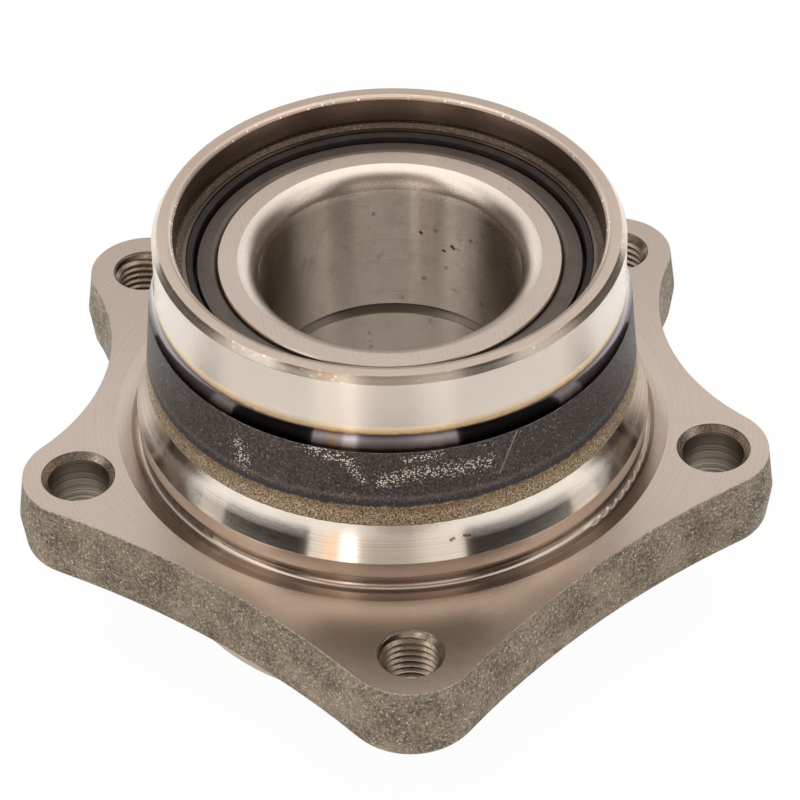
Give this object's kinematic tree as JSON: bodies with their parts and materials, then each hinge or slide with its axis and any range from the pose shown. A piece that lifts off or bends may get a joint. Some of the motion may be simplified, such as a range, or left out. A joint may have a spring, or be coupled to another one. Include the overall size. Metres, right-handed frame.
{
  "type": "wheel hub bearing",
  "caption": "Flanged wheel hub bearing: forged outer ring with an eared bolting flange, split inner rings, caged balls, and rubber-lipped seals with slingers.",
  "frame": {"origin": "on the bore axis, in the machined mounting face of the flange", "axes": "+Z along the bore axis towards the open inboard end of the barrel, -Y towards the flange's single front ear, +X across the flange, its longest extent"},
  "size_m": [0.147, 0.139, 0.0814],
  "materials": {
    "forged_steel": "turned and ground lands, black and straw heat tint, dark forging scale between them",
    "ground_steel": "fine ground bearing steel, warm reflections",
    "ball_steel": "lapped and polished bearing steel",
    "cage_polyamide": "glass-filled polyamide, natural colour",
    "pressed_steel": "pressed sheet, dull grey-brown",
    "seal_rubber": "black nitrile rubber, thin grease film"
  },
  "bodies": {
    "outer": {"outer_ring": "forged_steel", "seal_case_inboard": "pressed_steel", "seal_lip_inboard": "seal_rubber", "seal_case_outboard": "pressed_steel", "seal_lip_outboard": "seal_rubber"},
    "inner": {"inner_ring_inboard": "ground_steel", "slinger_inboard": "pressed_steel", "inner_ring_outboard": "ground_steel", "slinger_outboard": "pressed_steel"},
    "cage_inboard": {"cage_inboard": "cage_polyamide"},
    "cage_outboard": {"cage_outboard": "cage_polyamide"},
    "ball_inboard_01": {"ball_inboard_01": "ball_steel"},
    "ball_inboard_02": {"ball_inboard_02": "ball_steel"},
    "ball_inboard_03": {"ball_inboard_03": "ball_steel"},
    "ball_inboard_04": {"ball_inboard_04": "ball_steel"},
    "ball_inboard_05": {"ball_inboard_05": "ball_steel"},
    "ball_inboard_06": {"ball_inboard_06": "ball_steel"},
    "ball_inboard_07": {"ball_inboard_07": "ball_steel"},
    "ball_inboard_08": {"ball_inboard_08": "ball_steel"},
    "ball_inboard_09": {"ball_inboard_09": "ball_steel"},
    "ball_inboard_10": {"ball_inboard_10": "ball_steel"},
    "ball_inboard_11": {"ball_inboard_11": "ball_steel"},
    "ball_inboard_12": {"ball_inboard_12": "ball_steel"},
    "ball_inboard_13": {"ball_inboard_13": "ball_steel"},
    "ball_inboard_14": {"ball_inboard_14": "ball_steel"},
    "ball_inboard_15": {"ball_inboard_15": "ball_steel"},
    "ball_outboard_01": {"ball_outboard_01": "ball_steel"},
    "ball_outboard_02": {"ball_outboard_02": "ball_steel"},
    "ball_outboard_03": {"ball_outboard_03": "ball_steel"},
    "ball_outboard_04": {"ball_outboard_04": "ball_steel"},
    "ball_outboard_05": {"ball_outboard_05": "ball_steel"},
    "ball_outboard_06": {"ball_outboard_06": "ball_steel"},
    "ball_outboard_07": {"ball_outboard_07": "ball_steel"},
    "ball_outboard_08": {"ball_outboard_08": "ball_steel"},
    "ball_outboard_09": {"ball_outboard_09": "ball_steel"},
    "ball_outboard_10": {"ball_outboard_10": "ball_steel"},
    "ball_outboard_11": {"ball_outboard_11": "ball_steel"},
    "ball_outboard_12": {"ball_outboard_12": "ball_steel"},
    "ball_outboard_13": {"ball_outboard_13": "ball_steel"},
    "ball_outboard_14": {"ball_outboard_14": "ball_steel"},
    "ball_outboard_15": {"ball_outboard_15": "ball_steel"}
  },
  "joints": [
    {"name": "inner_spin", "type": "hinge", "parent": "outer", "child": "inner", "pos_m": [0, 0, 0.0055], "axis": [0, 0, 1], "continuous": true},
    {"name": "cage_inboard_orbit", "type": "hinge", "parent": "outer", "child": "cage_inboard", "pos_m": [0, 0, 0.025], "axis": [0, 0, 1], "continuous": true},
    {"name": "cage_outboard_orbit", "type": "hinge", "parent": "outer", "child": "cage_outboard", "pos_m": [0, 0, -0.014], "axis": [0, 0, 1], "continuous": true},
    {"name": "ball_inboard_01_spin", "type": "hinge", "parent": "cage_inboard", "child": "ball_inboard_01", "pos_m": [0, -0.035, 0.025], "axis": [0, -0.6157, 0.788], "continuous": true},
    {"name": "ball_inboard_02_spin", "type": "hinge", "parent": "cage_inboard", "child": "ball_inboard_02", "pos_m": [0.01424, -0.03197, 0.025], "axis": [0.2504, -0.5624, 0.788], "continuous": true},
    {"name": "ball_inboard_03_spin", "type": "hinge", "parent": "cage_inboard", "child": "ball_inboard_03", "pos_m": [0.02601, -0.02342, 0.025], "axis": [0.4575, -0.412, 0.788], "continuous": true},
    {"name": "ball_inboard_04_spin", "type": "hinge", "parent": "cage_inboard", "child": "ball_inboard_04", "pos_m": [0.03329, -0.01082, 0.025], "axis": [0.5855, -0.1902, 0.788], "continuous": true},
    {"name": "ball_inboard_05_spin", "type": "hinge", "parent": "cage_inboard", "child": "ball_inboard_05", "pos_m": [0.03481, 0.00366, 0.025], "axis": [0.6123, 0.0644, 0.788], "continuous": true},
    {"name": "ball_inboard_06_spin", "type": "hinge", "parent": "cage_inboard", "child": "ball_inboard_06", "pos_m": [0.03031, 0.0175, 0.025], "axis": [0.5332, 0.3078, 0.788], "continuous": true},
    {"name": "ball_inboard_07_spin", "type": "hinge", "parent": "cage_inboard", "child": "ball_inboard_07", "pos_m": [0.02057, 0.02832, 0.025], "axis": [0.3619, 0.4981, 0.788], "continuous": true},
    {"name": "ball_inboard_08_spin", "type": "hinge", "parent": "cage_inboard", "child": "ball_inboard_08", "pos_m": [0.00728, 0.03424, 0.025], "axis": [0.128, 0.6022, 0.788], "continuous": true},
    {"name": "ball_inboard_09_spin", "type": "hinge", "parent": "cage_inboard", "child": "ball_inboard_09", "pos_m": [-0.00728, 0.03424, 0.025], "axis": [-0.128, 0.6022, 0.788], "continuous": true},
    {"name": "ball_inboard_10_spin", "type": "hinge", "parent": "cage_inboard", "child": "ball_inboard_10", "pos_m": [-0.02057, 0.02832, 0.025], "axis": [-0.3619, 0.4981, 0.788], "continuous": true},
    {"name": "ball_inboard_11_spin", "type": "hinge", "parent": "cage_inboard", "child": "ball_inboard_11", "pos_m": [-0.03031, 0.0175, 0.025], "axis": [-0.5332, 0.3078, 0.788], "continuous": true},
    {"name": "ball_inboard_12_spin", "type": "hinge", "parent": "cage_inboard", "child": "ball_inboard_12", "pos_m": [-0.03481, 0.00366, 0.025], "axis": [-0.6123, 0.0644, 0.788], "continuous": true},
    {"name": "ball_inboard_13_spin", "type": "hinge", "parent": "cage_inboard", "child": "ball_inboard_13", "pos_m": [-0.03329, -0.01082, 0.025], "axis": [-0.5855, -0.1902, 0.788], "continuous": true},
    {"name": "ball_inboard_14_spin", "type": "hinge", "parent": "cage_inboard", "child": "ball_inboard_14", "pos_m": [-0.02601, -0.02342, 0.025], "axis": [-0.4575, -0.412, 0.788], "continuous": true},
    {"name": "ball_inboard_15_spin", "type": "hinge", "parent": "cage_inboard", "child": "ball_inboard_15", "pos_m": [-0.01424, -0.03197, 0.025], "axis": [-0.2504, -0.5624, 0.788], "continuous": true},
    {"name": "ball_outboard_01_spin", "type": "hinge", "parent": "cage_outboard", "child": "ball_outboard_01", "pos_m": [0.00728, -0.03424, -0.014], "axis": [-0.128, 0.6022, 0.788], "continuous": true},
    {"name": "ball_outboard_02_spin", "type": "hinge", "parent": "cage_outboard", "child": "ball_outboard_02", "pos_m": [0.02057, -0.02832, -0.014], "axis": [-0.3619, 0.4981, 0.788], "continuous": true},
    {"name": "ball_outboard_03_spin", "type": "hinge", "parent": "cage_outboard", "child": "ball_outboard_03", "pos_m": [0.03031, -0.0175, -0.014], "axis": [-0.5332, 0.3078, 0.788], "continuous": true},
    {"name": "ball_outboard_04_spin", "type": "hinge", "parent": "cage_outboard", "child": "ball_outboard_04", "pos_m": [0.03481, -0.00366, -0.014], "axis": [-0.6123, 0.0644, 0.788], "continuous": true},
    {"name": "ball_outboard_05_spin", "type": "hinge", "parent": "cage_outboard", "child": "ball_outboard_05", "pos_m": [0.03329, 0.01082, -0.014], "axis": [-0.5855, -0.1902, 0.788], "continuous": true},
    {"name": "ball_outboard_06_spin", "type": "hinge", "parent": "cage_outboard", "child": "ball_outboard_06", "pos_m": [0.02601, 0.02342, -0.014], "axis": [-0.4575, -0.412, 0.788], "continuous": true},
    {"name": "ball_outboard_07_spin", "type": "hinge", "parent": "cage_outboard", "child": "ball_outboard_07", "pos_m": [0.01424, 0.03197, -0.014], "axis": [-0.2504, -0.5624, 0.788], "continuous": true},
    {"name": "ball_outboard_08_spin", "type": "hinge", "parent": "cage_outboard", "child": "ball_outboard_08", "pos_m": [0, 0.035, -0.014], "axis": [0, -0.6157, 0.788], "continuous": true},
    {"name": "ball_outboard_09_spin", "type": "hinge", "parent": "cage_outboard", "child": "ball_outboard_09", "pos_m": [-0.01424, 0.03197, -0.014], "axis": [0.2504, -0.5624, 0.788], "continuous": true},
    {"name": "ball_outboard_10_spin", "type": "hinge", "parent": "cage_outboard", "child": "ball_outboard_10", "pos_m": [-0.02601, 0.02342, -0.014], "axis": [0.4575, -0.412, 0.788], "continuous": true},
    {"name": "ball_outboard_11_spin", "type": "hinge", "parent": "cage_outboard", "child": "ball_outboard_11", "pos_m": [-0.03329, 0.01082, -0.014], "axis": [0.5855, -0.1902, 0.788], "continuous": true},
    {"name": "ball_outboard_12_spin", "type": "hinge", "parent": "cage_outboard", "child": "ball_outboard_12", "pos_m": [-0.03481, -0.00366, -0.014], "axis": [0.6123, 0.0644, 0.788], "continuous": true},
    {"name": "ball_outboard_13_spin", "type": "hinge", "parent": "cage_outboard", "child": "ball_outboard_13", "pos_m": [-0.03031, -0.0175, -0.014], "axis": [0.5332, 0.3078, 0.788], "continuous": true},
    {"name": "ball_outboard_14_spin", "type": "hinge", "parent": "cage_outboard", "child": "ball_outboard_14", "pos_m": [-0.02057, -0.02832, -0.014], "axis": [0.3619, 0.4981, 0.788], "continuous": true},
    {"name": "ball_outboard_15_spin", "type": "hinge", "parent": "cage_outboard", "child": "ball_outboard_15", "pos_m": [-0.00728, -0.03424, -0.014], "axis": [0.128, 0.6022, 0.788], "continuous": true}
  ],
  "couplings": [
    {"joint": "cage_inboard_orbit", "follows": "inner_spin", "ratio": 0.43246},
    {"joint": "cage_outboard_orbit", "follows": "inner_spin", "ratio": 0.43246},
    {"joint": "ball_inboard_01_spin", "follows": "inner_spin", "ratio": -2.8634},
    {"joint": "ball_inboard_02_spin", "follows": "inner_spin", "ratio": -2.8634},
    {"joint": "ball_inboard_03_spin", "follows": "inner_spin", "ratio": -2.8634},
    {"joint": "ball_inboard_04_spin", "follows": "inner_spin", "ratio": -2.8634},
    {"joint": "ball_inboard_05_spin", "follows": "inner_spin", "ratio": -2.8634},
    {"joint": "ball_inboard_06_spin", "follows": "inner_spin", "ratio": -2.8634},
    {"joint": "ball_inboard_07_spin", "follows": "inner_spin", "ratio": -2.8634},
    {"joint": "ball_inboard_08_spin", "follows": "inner_spin", "ratio": -2.8634},
    {"joint": "ball_inboard_09_spin", "follows": "inner_spin", "ratio": -2.8634},
    {"joint": "ball_inboard_10_spin", "follows": "inner_spin", "ratio": -2.8634},
    {"joint": "ball_inboard_11_spin", "follows": "inner_spin", "ratio": -2.8634},
    {"joint": "ball_inboard_12_spin", "follows": "inner_spin", "ratio": -2.8634},
    {"joint": "ball_inboard_13_spin", "follows": "inner_spin", "ratio": -2.8634},
    {"joint": "ball_inboard_14_spin", "follows": "inner_spin", "ratio": -2.8634},
    {"joint": "ball_inboard_15_spin", "follows": "inner_spin", "ratio": -2.8634},
    {"joint": "ball_outboard_01_spin", "follows": "inner_spin", "ratio": -2.8634},
    {"joint": "ball_outboard_02_spin", "follows": "inner_spin", "ratio": -2.8634},
    {"joint": "ball_outboard_03_spin", "follows": "inner_spin", "ratio": -2.8634},
    {"joint": "ball_outboard_04_spin", "follows": "inner_spin", "ratio": -2.8634},
    {"joint": "ball_outboard_05_spin", "follows": "inner_spin", "ratio": -2.8634},
    {"joint": "ball_outboard_06_spin", "follows": "inner_spin", "ratio": -2.8634},
    {"joint": "ball_outboard_07_spin", "follows": "inner_spin", "ratio": -2.8634},
    {"joint": "ball_outboard_08_spin", "follows": "inner_spin", "ratio": -2.8634},
    {"joint": "ball_outboard_09_spin", "follows": "inner_spin", "ratio": -2.8634},
    {"joint": "ball_outboard_10_spin", "follows": "inner_spin", "ratio": -2.8634},
    {"joint": "ball_outboard_11_spin", "follows": "inner_spin", "ratio": -2.8634},
    {"joint": "ball_outboard_12_spin", "follows": "inner_spin", "ratio": -2.8634},
    {"joint": "ball_outboard_13_spin", "follows": "inner_spin", "ratio": -2.8634},
    {"joint": "ball_outboard_14_spin", "follows": "inner_spin", "ratio": -2.8634},
    {"joint": "ball_outboard_15_spin", "follows": "inner_spin", "ratio": -2.8634}
  ]
}
